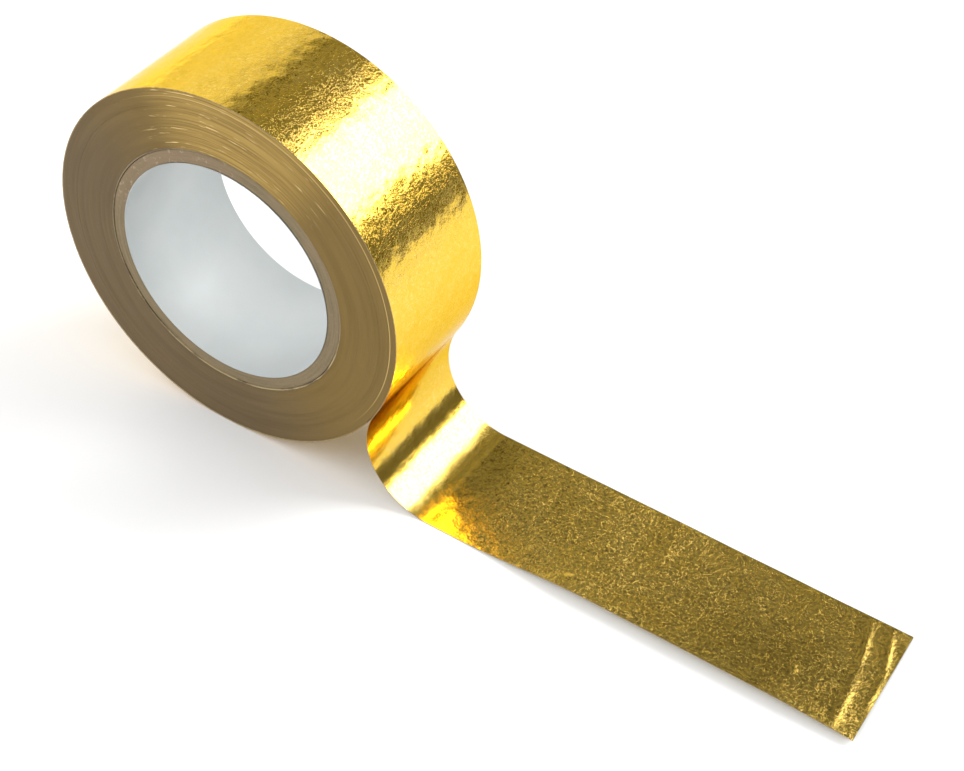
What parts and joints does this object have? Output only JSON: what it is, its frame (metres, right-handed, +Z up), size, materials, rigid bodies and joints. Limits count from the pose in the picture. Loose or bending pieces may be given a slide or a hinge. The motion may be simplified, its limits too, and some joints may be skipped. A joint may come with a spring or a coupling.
{
  "type": "tape roll",
  "caption": "Roll of metallic gold decorative adhesive tape on a paper core, standing on its rim with a length drawn off and lying flat.",
  "frame": {"origin": "centre of the core's bore, half way along the tape's width", "axes": "+Y along the roll's axis, +X along the flat length of tape away from the roll, +Z up; the roll and the flat length rest on the plane z = -0.02675 m"},
  "size_m": [0.1216, 0.02, 0.0535],
  "materials": {
    "liner_paper": "smooth white liner paper",
    "core_board": "grey-brown board, cut edge",
    "backing_paper": "cream paper, cut edge",
    "winding_side": "cut edges of wound tape, satin olive brown",
    "gold_foil": "metallised gold foil over fibrous paper, satin to mirror"
  },
  "bodies": {
    "drawn_turn": {"outer_turn": "gold_foil"},
    "roll": {"core_liner": "liner_paper", "core_ply_inner": "core_board", "core_ply_outer": "core_board", "first_turn": "backing_paper", "winding": "winding_side", "top_turns": "winding_side"},
    "bend": {"bend": "gold_foil"},
    "tail_near": {"tail_near": "gold_foil"},
    "tail_mid": {"tail_mid": "gold_foil"},
    "tail_end": {"tail_end": "gold_foil"}
  },
  "joints": [
    {"name": "roll_spin", "type": "hinge", "parent": "drawn_turn", "child": "roll", "pos_m": [0, 0, 0], "axis": [0, -1, 0], "continuous": true},
    {"name": "bend_lift", "type": "hinge", "parent": "drawn_turn", "child": "bend", "pos_m": [0.02404, 0, -0.01173], "axis": [0, -1, 0], "range_deg": [0, 25], "stiffness_Nm_per_rad": 0.0008},
    {"name": "tail_lift", "type": "hinge", "parent": "bend", "child": "tail_near", "pos_m": [0.03336, 0, -0.02663], "axis": [0, -1, 0], "range_deg": [0, 45], "stiffness_Nm_per_rad": 0.0006},
    {"name": "tail_curl", "type": "hinge", "parent": "tail_near", "child": "tail_mid", "pos_m": [0.05386, 0, -0.02663], "axis": [0, -1, 0], "range_deg": [0, 35], "stiffness_Nm_per_rad": 0.0004},
    {"name": "tip_curl", "type": "hinge", "parent": "tail_mid", "child": "tail_end", "pos_m": [0.07436, 0, -0.02663], "axis": [0, -1, 0], "range_deg": [0, 35], "stiffness_Nm_per_rad": 0.0004}
  ]
}
